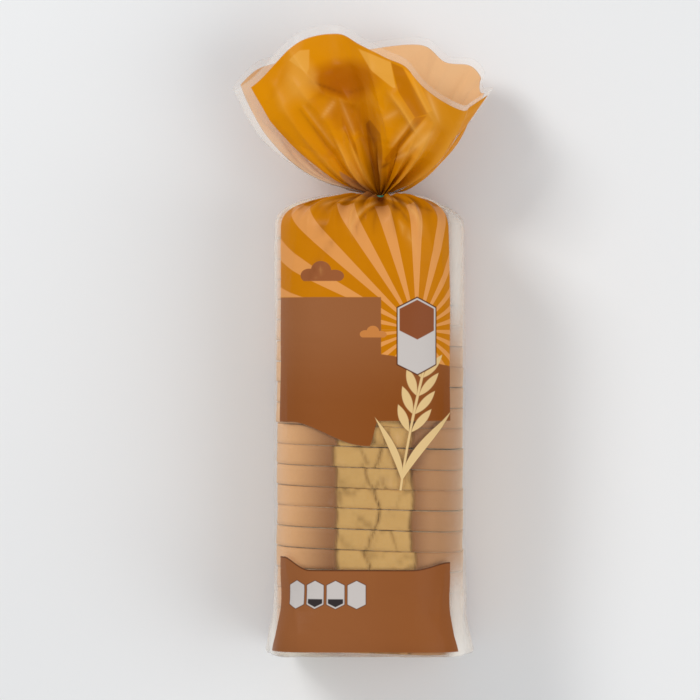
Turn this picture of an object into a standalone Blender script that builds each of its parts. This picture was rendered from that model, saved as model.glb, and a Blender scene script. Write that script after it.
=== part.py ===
"""Sliced split-top loaf in a tied bread bag, lying on its bottom crust.

The bag and the bread that fills it are one closed solid: a flat-bottomed, dome-topped body with
a shallow dip for each cut between slices, a gathered shoulder, a pinched neck and an open,
flared tail of creased film. A twist tie closes the neck.

Metres, +Z up, +Y towards the tied neck. The origin is the middle of the flat base.
"""

import math

import bmesh
import bpy
import numpy as np
from mathutils import Vector

MM = 0.001

# Driving sizes of the bread and of the bag that hugs it
SLICES = 22
SLICE_PITCH = 11.7 * MM
BODY_HALF_WIDTH = 54.5 * MM
BODY_HEIGHT = 109.0 * MM
WAIST_HEIGHT = 45.0 * MM          # where the sides are widest, above the base
DOME_BOXINESS = 3.3               # how square the section is above the waist
FOOT_BOXINESS = 5.5               # and below it
FOOT_OVERSHOOT = 1.014            # the foot is drawn this much deeper, then cut flat at the base
BASE_END_Y = -132.5 * MM          # the shut end of the bag
FIRST_CUT_Y = -130.4 * MM         # outer face of the first slice
SPLIT_X = 3.0 * MM                # the split in the top crust lies a little right of centre
SPLIT_DEPTH = 1.6 * MM
SPLIT_HALF_WIDTH = 17.0 * MM
CUT_DIP = 0.6 * MM                # how far the film dips at each cut
CUT_LEAN = 0.034                  # the cuts run this much askew, as a slope
BASE_SPREAD = 0.015               # the bag is this much wider at its shut end than at its neck

# The shut end is boxier than the rest, with ears of folded film at its two sides
BOX_LENGTH = 36.0 * MM
BOX_BOXINESS = 6.5
BOX_SHARE = 0.85
EAR_REACH = 5.0 * MM
EAR_LENGTH = 26.0 * MM            # how far up the bag's side an ear runs
EAR_HALF_HEIGHT = 24.0 * MM

# The gathered shoulder rounds in to the neck, rounder on its right, starts a little earlier on
# the front, and is drawn back in a dimple round the tie
SHOULDER_Y = 112.0 * MM
SHOULDER_DEPTH = 17.8 * MM
SHOULDER_BOXINESS = 2.8
RIGHT_BOXINESS = 2.1
FRONT_SLOPE = 4.0 * MM
DIMPLE = 2.6 * MM
DIMPLE_SHARES = (0.10, 0.42)      # from the neck outwards, where the dimple's side rises
SHOULDER_TURNS = (6, 20, 34, 48, 61, 73, 83, 88)    # degrees round the curve, a ring at each

# Gathered neck, its pleats, and the tie
NECK_X, NECK_Z = 6.9 * MM, 57.0 * MM
NECK_RADIUS = 3.0 * MM
NECK_Y0 = 127.6 * MM
NECK_Y1 = 130.8 * MM
PLEATS = 18
POINTS_PER_PLEAT = 4
AROUND = PLEATS * POINTS_PER_PLEAT
PLEAT_HEIGHT = 2.6 * MM
PLEAT_START_Y = 103.0 * MM        # the pleats fade in over this length of the body's end
PLEAT_RUN = 20.0 * MM
PLEAT_LIMIT = 0.13                # no pleat stands further out than this share of its radius

TIE_INNER_RADIUS = 3.5 * MM
TIE_THICKNESS = 0.6 * MM
TIE_WIDTH = 1.8 * MM
TIE_Y = 129.3 * MM
TIE_TWIST_LENGTH = 17.0 * MM
TIE_TWISTS = 1.5
TIE_TILT = math.radians(17.0)     # the twisted ends lean this far up the bag from straight down

# Flared tail: its wall, and how far up it the inside starts
TAIL_WALL = 1.3 * MM
HOLLOW_START = 0.24
TAIL_ROWS = 10
HOLLOW_ROWS = 7

# The tail's rim, and how its film bellies out on the way there: a share of the way round from
# the right side over the top, then millimetres from the tie to the right, along and up
RIM = (
    (0.105, 62, 65.3, -2), (0.13, 49.7, 56.3, 14), (0.145, 45.7, 54.3, 22), (0.165, 35, 59.4, 34),
    (0.19, 25, 67.5, 40), (0.215, 16, 78.4, 42), (0.24, 4.6, 84, 36), (0.27, -10.7, 92.6, 25),
    (0.30, -25, 100, 14), (0.35, -49, 95, 13), (0.41, -73.5, 70.5, 8), (0.46, -85.4, 64, 0),
    (0.49, -81.4, 71.6, -5), (0.52, -71.3, 80.8, -10), (0.56, -56.9, 85.5, -16), (0.63, -31, 90.8, -26),
    (0.68, -12.4, 92, -32), (0.77, 23, 95.3, -35), (0.82, 37.6, 85.5, -32), (0.86, 51, 84, -26),
    (0.90, 57.5, 76.8, -20), (0.94, 56.6, 70.6, -14), (0.97, 58, 65.5, -10),
)
BELLY = ((0.0, 38, 13, 0), (0.25, 3, 17.6, 26), (0.5, -66, 12, 0), (0.75, -5, 23.6, -20))

# Large creases of the tail: from and to, each as a share round and a share of the way from the
# neck to the rim, then how far the crease stands out in millimetres, below 0 inwards, and width
CREASES = (
    (0.275, 0.05, 0.290, 0.52, -4.0, 0.07), (0.290, 0.52, 0.316, 0.84, -9.0, 0.17),
    (0.203, 0.05, 0.184, 0.70, 4.5, 0.06), (0.176, 0.10, 0.164, 0.82, 4.0, 0.05),
    (0.138, 0.10, 0.134, 0.98, 4.0, 0.05), (0.332, 0.05, 0.345, 0.62, 3.5, 0.06),
    (0.378, 0.08, 0.392, 0.92, 3.0, 0.06), (0.430, 0.15, 0.440, 0.85, -3.0, 0.07),
    (0.620, 0.10, 0.610, 0.85, -4.0, 0.08), (0.700, 0.10, 0.720, 0.92, 4.0, 0.07),
    (0.790, 0.10, 0.805, 0.90, 4.0, 0.07), (0.880, 0.10, 0.862, 0.96, 3.5, 0.06),
)


def smooth_step(low, high, value):
    share = np.clip((value - low) / (high - low), 0.0, 1.0)
    return share * share * (3.0 - 2.0 * share)


def closed_spline(table, places):
    """Reads a closed table of knots, smoothly, at shares of the way round, as metres."""
    knots = np.array(table, dtype=float)
    turn = np.array([1.0, 0.0, 0.0, 0.0])
    wide = np.concatenate([knots[-3:] - turn, knots, knots[:3] + turn])
    dense = []
    for before, start, end, after in zip(wide, wide[1:], wide[2:], wide[3:]):
        for t in np.linspace(0.0, 1.0, 12, endpoint=False):
            dense.append(0.5 * (
                2.0 * start + t * (end - before)
                + t * t * (2.0 * before - 5.0 * start + 4.0 * end - after)
                + t ** 3 * (3.0 * start - before - 3.0 * end + after)
            ))
    dense = np.array(dense)
    return np.stack([np.interp(places, dense[:, 0], dense[:, k]) for k in (1, 2, 3)], axis=1) * MM


def body_section(dome_boxiness):
    """The body's outline across the loaf, as x and z, evenly spaced from the right side over the
    top: boxy with a flat base below, domed with a sagging split above."""
    angle = np.linspace(0.0, math.tau, 2881)
    upper = np.sin(angle) >= 0.0
    power = 2.0 / np.where(upper, dome_boxiness, FOOT_BOXINESS)
    x = BODY_HALF_WIDTH * np.sign(np.cos(angle)) * np.abs(np.cos(angle)) ** power
    rise = np.sign(np.sin(angle)) * np.abs(np.sin(angle)) ** power
    dome = WAIST_HEIGHT + (BODY_HEIGHT - WAIST_HEIGHT) * rise
    foot = np.maximum(0.0, WAIST_HEIGHT * (1.0 + FOOT_OVERSHOOT * rise))
    z = np.where(upper, dome, foot)
    run = np.concatenate(([0.0], np.cumsum(np.hypot(np.diff(x), np.diff(z)))))
    crown = np.interp(math.pi / 2.0, angle, run) / run[-1]
    places = (np.arange(AROUND) / AROUND + crown - 0.25) % 1.0 * run[-1]
    section = np.stack([np.interp(places, run, x), np.interp(places, run, z)], axis=1)
    over = smooth_step(70.0 * MM, 100.0 * MM, section[:, 1])
    section[:, 1] -= over * SPLIT_DEPTH * np.exp(-(((section[:, 0] - SPLIT_X) / SPLIT_HALF_WIDTH) ** 2))
    return section


def body_ring(y, dip=0.0, lean=0.0, scale=1.0):
    """A ring of the body at y. The dip at a cut fades out towards the flat base, and a scale
    below 1 draws the ring in towards the middle of the end face."""
    soft, boxy = body_section(DOME_BOXINESS), body_section(BOX_BOXINESS)
    boxed = BOX_SHARE * (1.0 - smooth_step(0.0, BOX_LENGTH, y - BASE_END_Y))
    near_end = 1.0 - smooth_step(0.0, EAR_LENGTH, y - BASE_END_Y)
    side = smooth_step(0.7, 1.0, np.abs(soft[:, 0]) / BODY_HALF_WIDTH)
    level = np.exp(-(((soft[:, 1] - WAIST_HEIGHT) / EAR_HALF_HEIGHT) ** 2))
    inward = np.array([0.0, WAIST_HEIGHT]) - soft
    inward /= np.linalg.norm(inward, axis=1)[:, None]
    pull = dip * smooth_step(8.0 * MM, 30.0 * MM, soft[:, 1])
    ring = soft + (boxy - soft) * boxed + inward * pull[:, None]
    ring[:, 0] *= 1.0 + BASE_SPREAD * (NECK_Y0 - y) / (NECK_Y0 - BASE_END_Y)
    ring[:, 0] += np.sign(soft[:, 0]) * EAR_REACH * near_end * level * side
    middle = np.array([0.0, WAIST_HEIGHT])
    ring = middle + (ring - middle) * scale
    return np.stack([ring[:, 0], y - CUT_LEAN * lean * soft[:, 0], ring[:, 1]], axis=1)


def shoulder_rings():
    """Rings that round in from the body's end to the neck."""
    edge = body_ring(SHOULDER_Y)
    hub = np.array([NECK_X, 0.0, NECK_Z])
    spokes = edge * [1.0, 0.0, 1.0] - hub
    front = smooth_step(70.0 * MM, 100.0 * MM, edge[:, 2])
    rounder = smooth_step(-20.0 * MM, 30.0 * MM, edge[:, 0]) * (1.0 - front)
    boxiness = SHOULDER_BOXINESS + (RIGHT_BOXINESS - SHOULDER_BOXINESS) * rounder
    start_y = SHOULDER_Y - FRONT_SLOPE * front
    depth = SHOULDER_Y + SHOULDER_DEPTH - start_y
    rings = []
    for turn in SHOULDER_TURNS:
        scale = math.cos(math.radians(turn)) ** (2.0 / SHOULDER_BOXINESS)
        ring = hub + spokes * scale
        ring[:, 1] = start_y + depth * (1.0 - scale ** boxiness) ** (1.0 / boxiness)
        ring[:, 1] -= DIMPLE * (1.0 - smooth_step(*DIMPLE_SHARES, scale))
        rings.append(ring)
    spokes /= np.linalg.norm(spokes, axis=1)[:, None]
    for y in (NECK_Y0, NECK_Y1):
        rings.append(hub + spokes * NECK_RADIUS + np.array([0.0, y, 0.0]))
    return rings


def tail_rings(root):
    """Rings of the tail's outside, from just above the neck to the rim."""
    tie_point = np.array([NECK_X, NECK_Y0, NECK_Z])
    places = np.arange(AROUND) / AROUND
    rim = tie_point + closed_spline(RIM, places)
    belly = tie_point + closed_spline(BELLY, places)
    rings = []
    for s in tail_shares():
        rings.append((1 - s) ** 2 * root + 2 * s * (1 - s) * belly + s * s * rim)
    return rings


def tail_shares():
    return (np.arange(1, TAIL_ROWS + 1) / TAIL_ROWS) ** 1.15


def outward(rings):
    """The direction straight out of the film at each point of a grid of rings."""
    forward = np.gradient(rings, axis=0)
    around = np.roll(rings, -1, axis=1) - np.roll(rings, 1, axis=1)
    normal = np.cross(forward, around)
    return normal / np.maximum(np.linalg.norm(normal, axis=2), 1e-9)[..., None]


def relief(rings, tail):
    """How far pleats and creases stand out of the film. The tail's share of the way to the rim
    is below 0 on the body."""
    x, y, z = rings[..., 0], rings[..., 1], rings[..., 2]
    limit = PLEAT_LIMIT * np.hypot(x - NECK_X, z - NECK_Z)
    index = np.arange(AROUND)
    wave = 1.0 - np.abs((index % POINTS_PER_PLEAT) / (POINTS_PER_PLEAT / 2) - 1.0) - 0.5
    wave = wave * (0.75 + 0.25 * np.sin(2.4 * (index // POINTS_PER_PLEAT)))
    start = PLEAT_START_Y + 5.0 * MM * np.sin(1.7 * (index // POINTS_PER_PLEAT))
    clear_of_base = smooth_step(4.0 * MM, 24.0 * MM, z + 3.5 * np.maximum(y - 124.0 * MM, 0.0))
    on_body = smooth_step(start, start + PLEAT_RUN, y) * clear_of_base
    share = np.clip(tail, 0.0, 1.0)[:, None]
    fade = np.where(tail[:, None] < 0.0, on_body, (1.0 - share) ** 1.6)
    lift = np.minimum(PLEAT_HEIGHT, limit) * wave * fade
    places = index / AROUND
    for u0, s0, u1, s1, height, width in CREASES:
        start, way = np.array([u0 * 3.0, s0]), np.array([(u1 - u0) * 3.0, s1 - s0])
        spot = np.stack(np.broadcast_arrays(places[None, :] * 3.0, share), axis=-1) - start
        on = np.clip((spot @ way) / (way @ way), 0.0, 1.0)
        near = np.exp(-np.linalg.norm(spot - on[..., None] * way, axis=-1) / width)
        near *= np.sin(np.pi * np.clip(on * 0.9 + 0.08, 0.0, 1.0)) ** 0.5 * (tail[:, None] > 0.0)
        lift += math.copysign(1.0, height) * np.minimum(abs(height) * MM, 2.2 * limit) * near
    return lift


def loft(name, rings, first_pole, last_pole, material):
    """One closed mesh through rings of equal count, shut at each end by a pole."""
    mesh = bpy.data.meshes.new(name)
    builder = bmesh.new()
    loops = [[builder.verts.new(point) for point in ring] for ring in rings]
    for lower, upper in zip(loops, loops[1:]):
        for i in range(len(lower)):
            j = (i + 1) % len(lower)
            builder.faces.new((lower[i], lower[j], upper[j], upper[i]))
    for pole, loop in ((first_pole, loops[0]), (last_pole, loops[-1])):
        tip = builder.verts.new(pole)
        for i in range(len(loop)):
            builder.faces.new((tip, loop[i], loop[(i + 1) % len(loop)]))
    bmesh.ops.recalc_face_normals(builder, faces=builder.faces)
    builder.to_mesh(mesh)
    builder.free()
    mesh.shade_smooth()
    mesh.set_sharp_from_angle(angle=math.radians(40))
    mesh.materials.append(material)
    return bpy.data.objects.new(name, mesh)


def finish(name, colour, roughness):
    material = bpy.data.materials.new(name)
    material.use_nodes = True
    shader = material.node_tree.nodes["Principled BSDF"]
    shader.inputs["Base Color"].default_value = (*colour, 1.0)
    shader.inputs["Roughness"].default_value = roughness
    shader.inputs["Metallic"].default_value = 0.0
    return material


def make_bag():
    """The filled bag: shut end, body with a dip at each cut, shoulder, neck and open tail."""
    rings = [
        body_ring(BASE_END_Y, scale=0.55), body_ring(BASE_END_Y, scale=0.95),
        body_ring(BASE_END_Y + 1.0 * MM, scale=0.985),
    ]
    for cut in range(1, SLICES - 1):
        cut_y = FIRST_CUT_Y + cut * SLICE_PITCH
        for y, dip in ((cut_y - SLICE_PITCH / 2, 0.0), (cut_y, CUT_DIP)):
            lean = smooth_step(0.0, 12.0 * MM, y - BASE_END_Y) * (1.0 - smooth_step(92 * MM, 105 * MM, y))
            rings.append(body_ring(y, dip, lean))
    rings += shoulder_rings()
    on_body = len(rings)
    rings = np.array(rings + tail_rings(rings[-1]))
    tail = np.concatenate([np.full(on_body, -1.0), tail_shares()])
    straight_out = outward(rings)
    film = rings + straight_out * relief(rings, tail)[..., None]
    film[..., 2] = np.maximum(film[..., 2], 0.0)

    inner = film - outward(film) * TAIL_WALL
    inner_shares = np.linspace(1.0, HOLLOW_START, HOLLOW_ROWS)
    rows = np.interp(inner_shares, tail[on_body:], np.arange(on_body, len(film)))
    lower = np.floor(rows).astype(int)
    upper = np.minimum(lower + 1, len(film) - 1)
    blend = (rows - lower)[:, None, None]
    hollow = inner[lower] * (1.0 - blend) + inner[upper] * blend

    shut_end = Vector((0.0, BASE_END_Y, WAIST_HEIGHT))
    hollow_end = Vector((NECK_X, NECK_Y0 + 8.0 * MM, NECK_Z))
    printed = finish("printed_film", (0.72, 0.36, 0.10), 0.30)
    return loft("bread_bag", np.concatenate([film, hollow]), shut_end, hollow_end, printed)


def make_tie():
    """A flat paper-covered wire: a band round the neck, its two ends twisted together below."""
    steps = 48
    half_width = TIE_WIDTH / 2
    mesh = bpy.data.meshes.new("twist_tie")
    builder = bmesh.new()
    corners = (
        (TIE_INNER_RADIUS, -half_width), (TIE_INNER_RADIUS + TIE_THICKNESS, -half_width),
        (TIE_INNER_RADIUS + TIE_THICKNESS, half_width), (TIE_INNER_RADIUS, half_width),
    )
    loops = []
    for step in range(steps):
        angle = math.tau * step / steps
        across, up = math.cos(angle), math.sin(angle)
        loops.append([
            builder.verts.new((NECK_X + radius * across, TIE_Y + y, NECK_Z + radius * up))
            for radius, y in corners
        ])
    for step in range(steps):
        here, there = loops[step], loops[(step + 1) % steps]
        for i in range(4):
            j = (i + 1) % 4
            builder.faces.new((here[i], here[j], there[j], there[i]))
    bmesh.ops.recalc_face_normals(builder, faces=builder.faces)
    builder.to_mesh(mesh)
    builder.free()
    mesh.materials.append(finish("tie_green", (0.05, 0.30, 0.22), 0.45))
    band = bpy.data.objects.new("twist_tie", mesh)

    twist = twisted_ends()
    join = band.modifiers.new("ends", "BOOLEAN")
    join.operation = "UNION"
    join.solver = "EXACT"
    join.object = twist
    return band, twist


def twisted_ends():
    """The tie's two ends wound round each other, as a flat bar turned about its own length."""
    steps = 18
    half_width, half_thickness = 0.9 * MM, 0.6 * MM
    down = Vector((0.0, math.sin(TIE_TILT), -math.cos(TIE_TILT)))
    level = Vector((0.0, math.cos(TIE_TILT), math.sin(TIE_TILT)))
    sideways = Vector((1.0, 0.0, 0.0))
    top = Vector((NECK_X, TIE_Y, NECK_Z - TIE_INNER_RADIUS - 0.3 * MM))
    mesh = bpy.data.meshes.new("twist_ends")
    builder = bmesh.new()
    loops = []
    for step in range(steps + 1):
        share = step / steps
        turn = math.tau * TIE_TWISTS * share
        across = sideways * math.sin(turn) + level * math.cos(turn)
        through = sideways * math.cos(turn) - level * math.sin(turn)
        centre = top + down * (TIE_TWIST_LENGTH * share)
        loops.append([
            builder.verts.new(centre + across * (a * half_width) + through * (b * half_thickness))
            for a, b in ((-1, -1), (1, -1), (1, 1), (-1, 1))
        ])
    for here, there in zip(loops, loops[1:]):
        for i in range(4):
            j = (i + 1) % 4
            builder.faces.new((here[i], here[j], there[j], there[i]))
    builder.faces.new(loops[0])
    builder.faces.new(loops[-1])
    bmesh.ops.recalc_face_normals(builder, faces=builder.faces)
    builder.to_mesh(mesh)
    builder.free()
    ends = bpy.data.objects.new("twist_ends", mesh)
    ends.hide_render = True
    ends.display_type = "WIRE"
    return ends


def main():
    for thing in list(bpy.data.objects):
        bpy.data.objects.remove(thing)
    bagged_loaf = bpy.data.collections.new("bagged_loaf")
    helpers = bpy.data.collections.new("helpers")
    bpy.context.scene.collection.children.link(bagged_loaf)
    bpy.context.scene.collection.children.link(helpers)
    bagged_loaf.objects.link(make_bag())
    band, ends = make_tie()
    bagged_loaf.objects.link(band)
    helpers.objects.link(ends)


main()
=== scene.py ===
"""The looks of a sliced split-top loaf lying in its tied, printed bread bag."""

import math

import bmesh
import bpy
import numpy as np
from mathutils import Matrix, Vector, geometry, noise


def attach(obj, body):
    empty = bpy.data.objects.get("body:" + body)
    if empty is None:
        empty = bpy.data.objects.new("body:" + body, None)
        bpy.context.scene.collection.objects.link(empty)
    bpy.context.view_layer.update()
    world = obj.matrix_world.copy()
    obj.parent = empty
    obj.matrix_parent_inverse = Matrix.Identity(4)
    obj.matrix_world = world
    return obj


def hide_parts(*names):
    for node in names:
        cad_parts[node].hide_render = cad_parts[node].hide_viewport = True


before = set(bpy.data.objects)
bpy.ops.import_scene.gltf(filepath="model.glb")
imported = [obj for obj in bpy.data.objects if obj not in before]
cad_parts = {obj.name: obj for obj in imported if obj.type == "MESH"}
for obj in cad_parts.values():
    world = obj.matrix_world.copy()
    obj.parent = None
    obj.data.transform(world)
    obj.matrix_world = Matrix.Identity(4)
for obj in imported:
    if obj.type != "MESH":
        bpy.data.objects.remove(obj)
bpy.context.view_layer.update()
MM = 0.001


# The camera
# It looks straight down on the lying loaf, a few degrees from its right, from 3 m above the
# middle of its height, so that 700 pixels take in 402 mm there.
VIEW_WIDTH = 402.5 * MM
VIEW_DISTANCE = 3.0
VIEW_TARGET = Vector((-11.2 * MM, 41.5 * MM, 55.0 * MM))
VIEW_LEAN = math.radians(2.5)


def new_object(name, data):
    thing = bpy.data.objects.new(name, data)
    bpy.context.scene.collection.objects.link(thing)
    return thing


camera_data = bpy.data.cameras.new("camera")
camera_data.angle = 2.0 * math.atan(VIEW_WIDTH / 2.0 / VIEW_DISTANCE)
camera = new_object("camera", camera_data)
camera.location = VIEW_TARGET + VIEW_DISTANCE * Vector((math.sin(VIEW_LEAN), 0.0, math.cos(VIEW_LEAN)))
camera.rotation_euler = (0.0, VIEW_LEAN, 0.0)
bpy.context.scene.camera = camera


# The slices
# A pan-baked white loaf with a split top, cut across into 22 soft slices that still stand
# together: a thin tan crust round cream crumb, and a pale torn band where the top opened.
SLICES = 22
SLICE_PITCH = 11.7 * MM
SLICE_GAP = 0.2 * MM
FIRST_CUT_Y = -130.4 * MM
WAIST_HEIGHT = 45.0 * MM
BREAD_HALF_WIDTH = 53.3 * MM
BREAD_TOP = 106.6 * MM
BREAD_BASE = 1.0 * MM
SPLIT_LEFT, SPLIT_RIGHT = -17.0 * MM, 26.0 * MM
CREVICE_X = 4.0 * MM
HEEL_X, HEEL_HEIGHT = 6.9 * MM, 57.0 * MM
HEEL_START_Y, HEEL_END_Y = 111.4 * MM, 128.6 * MM


def outline(half_width, top, base, places, boxiness_above=3.3):
    """Points round the loaf's section, as x and z, at the given shares of the way round from the
    middle of its top over the left side and back under the flat base."""
    angle = np.linspace(0.0, math.tau, 2881)
    upper = np.sin(angle) >= 0.0
    boxiness = np.where(upper, boxiness_above, 5.5)
    across = half_width * np.sign(np.cos(angle)) * np.abs(np.cos(angle)) ** (2.0 / boxiness)
    rise = np.sign(np.sin(angle)) * np.abs(np.sin(angle)) ** (2.0 / boxiness)
    over = WAIST_HEIGHT + (top - WAIST_HEIGHT) * rise
    under = np.maximum(base, WAIST_HEIGHT + (WAIST_HEIGHT * 1.014 - base) * rise)
    height = np.where(upper, over, under)
    steps = np.hypot(np.diff(across), np.diff(height))
    run = np.concatenate(([0.0], np.cumsum(steps))) / steps.sum()
    where = (places + np.interp(math.pi / 2.0, angle, run)) % 1.0
    return np.stack([np.interp(where, run, across), np.interp(where, run, height)], axis=1)


def smooth_step(low, high, value):
    share = np.clip((value - low) / (high - low), 0.0, 1.0)
    return share * share * (3.0 - 2.0 * share)


def mesh_from_rings(name, rings, ends=True):
    """A mesh through rings of equal count, with a pole in the middle of each end."""
    rings = np.asarray(rings)
    count, around = rings.shape[:2]
    points = rings.reshape(-1, 3)
    here = np.arange(around)
    there = (here + 1) % around
    faces = []
    for row in range(count - 1):
        low, high = row * around, (row + 1) * around
        faces += np.stack([low + here, low + there, high + there, high + here], axis=1).tolist()
    if ends:
        poles = np.stack([rings[0].mean(axis=0), rings[-1].mean(axis=0)])
        points = np.concatenate([points, poles])
        last = (count - 1) * around
        first_pole, last_pole = len(points) - 2, len(points) - 1
        faces += [[first_pole, int(b), int(a)] for a, b in zip(here, there)]
        faces += [[last_pole, int(last + a), int(last + b)] for a, b in zip(here, there)]
    mesh = bpy.data.meshes.new(name)
    mesh.from_pydata(points.tolist(), [], faces)
    return mesh


def face_outwards(mesh):
    shape = bmesh.new()
    shape.from_mesh(mesh)
    bmesh.ops.recalc_face_normals(shape, faces=shape.faces)
    shape.to_mesh(mesh)
    shape.free()


class Wire:
    """A node's output in a tree. Operators on wires add Math nodes, so maths reads as Python."""

    def __init__(self, tree, socket=None):
        self.tree = tree
        self.socket = socket

    def add(self, kind, sockets=None, output=0, **settings):
        """Adds a node: its settings first, then the values or wires of its sockets."""
        node = self.tree.nodes.new(kind)
        for name, value in settings.items():
            setattr(node, name, value)
        for name, value in (sockets or {}).items():
            if isinstance(value, Wire):
                value.into(node.inputs[name])
            else:
                node.inputs[name].default_value = value
        return Wire(self.tree, node.outputs[output])

    def math(self, operation, *values, clamp=False):
        sockets = dict(enumerate(values))
        return self.add("ShaderNodeMath", sockets, operation=operation, use_clamp=clamp)

    def __add__(self, other): return self.math("ADD", self, other)
    def __radd__(self, other): return self.math("ADD", other, self)
    def __sub__(self, other): return self.math("SUBTRACT", self, other)
    def __rsub__(self, other): return self.math("SUBTRACT", other, self)
    def __mul__(self, other): return self.math("MULTIPLY", self, other)
    def __rmul__(self, other): return self.math("MULTIPLY", other, self)
    def __truediv__(self, other): return self.math("DIVIDE", self, other)
    def __pow__(self, other): return self.math("POWER", self, other)
    def __neg__(self): return self.math("MULTIPLY", self, -1.0)
    def __abs__(self): return self.math("ABSOLUTE", self)

    def most(self, other): return self.math("MAXIMUM", self, other)
    def clamped(self): return self.math("ADD", self, 0.0, clamp=True)
    def hump(self, width): return self.math("EXPONENT", -((self / width) ** 2.0))

    def read(self, *names):
        """The mesh's own values of these names."""
        return [self.add("ShaderNodeAttribute", attribute_name=name, output=2) for name in names]

    def step(self, low, high):
        """0 below low and 1 above high, with a smooth way between."""
        sockets = {"Value": self, "From Min": low, "From Max": high}
        return self.add("ShaderNodeMapRange", sockets, interpolation_type="SMOOTHSTEP")

    def axes(self):
        split = self.add("ShaderNodeSeparateXYZ", {"Vector": self})
        return [Wire(self.tree, socket) for socket in split.socket.node.outputs]

    def joined(self, x, y, z):
        return self.add("ShaderNodeCombineXYZ", {"X": x, "Y": y, "Z": z})

    def scaled(self, x, y, z):
        return self.add("ShaderNodeVectorMath", {0: self, 1: (x, y, z)}, operation="MULTIPLY")

    def noise(self, size, detail=2.0, seed=0.0):
        """Noise from -1 to 1 whose lumps are about size across, read at this place."""
        sockets = {"Vector": self, "W": seed, "Scale": 1.0 / size, "Detail": detail}
        return (self.add("ShaderNodeTexNoise", sockets, noise_dimensions="4D") - 0.5) * 2.0

    def share(self):
        """A value from -1 to 1 as a share from 0 to 1."""
        return (self * 0.5 + 0.5).clamped()

    def bump(self, strength, distance):
        return self.add("ShaderNodeBump", {"Height": self, "Strength": strength, "Distance": distance})

    def between(self, low, high):
        """The first colour where this is 0, turning to the second where it is 1."""
        return self.add("ShaderNodeMix", {0: self, 6: low, 7: high}, data_type="RGBA", output=2)

    def into(self, socket):
        self.tree.links.new(self.socket, socket)

    def mix(self, share, other):
        """This colour, with a share of the other over it."""
        return self.add("ShaderNodeMix", {0: share, 6: self, 7: other}, data_type="RGBA", output=2)


def srgb(red, green, blue):
    """A colour given by its eye values from 0 to 255, as the linear one that nodes take."""
    shares = [value / 255.0 for value in (red, green, blue)]
    return (*[c / 12.92 if c <= 0.04045 else ((c + 0.055) / 1.055) ** 2.4 for c in shares], 1.0)


def new_material(name, **constants):
    """A node material with its constant sockets set, and a wire to begin its nodes from."""
    material = bpy.data.materials.new(name)
    material.use_nodes = True
    shader = material.node_tree.nodes["Principled BSDF"]
    for socket, value in constants.items():
        shader.inputs[socket.replace("_", " ")].default_value = value
    return material, shader, Wire(material.node_tree)


def finish_surface(shader, colour, rough, bump):
    colour.into(shader.inputs["Base Color"])
    rough.into(shader.inputs["Roughness"])
    bump.into(shader.inputs["Normal"])


def slice_mesh():
    """One slice, standing across the loaf with its middle at y = 0, finest over its top."""
    dome_end = 0.135
    dome = np.linspace(-dome_end, dome_end, 113, endpoint=False)
    rest = np.linspace(dome_end, 1.0 - dome_end, 79, endpoint=False)
    section = outline(BREAD_HALF_WIDTH, BREAD_TOP, BREAD_BASE, np.concatenate([dome, rest]))
    middle = np.array([0.0, 0.5 * BREAD_TOP])
    half = 0.5 * (SLICE_PITCH - SLICE_GAP)
    edge = 0.5 * MM
    rows = []
    for share, along in (
        (0.35, -half), (0.8, -half), (0.97, -half), (0.991, -half), (1.0, edge - half),
        (1.0, -0.5 * half), (1.0, 0.0), (1.0, 0.5 * half), (1.0, half - edge),
        (0.991, half), (0.97, half), (0.8, half), (0.35, half),
    ):
        flat = middle + (section - middle) * share
        rows.append(np.stack([flat[:, 0], np.full(len(flat), along), flat[:, 1]], axis=1))
    mesh = mesh_from_rings("slice", rows)
    face_outwards(mesh)
    return mesh


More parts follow.
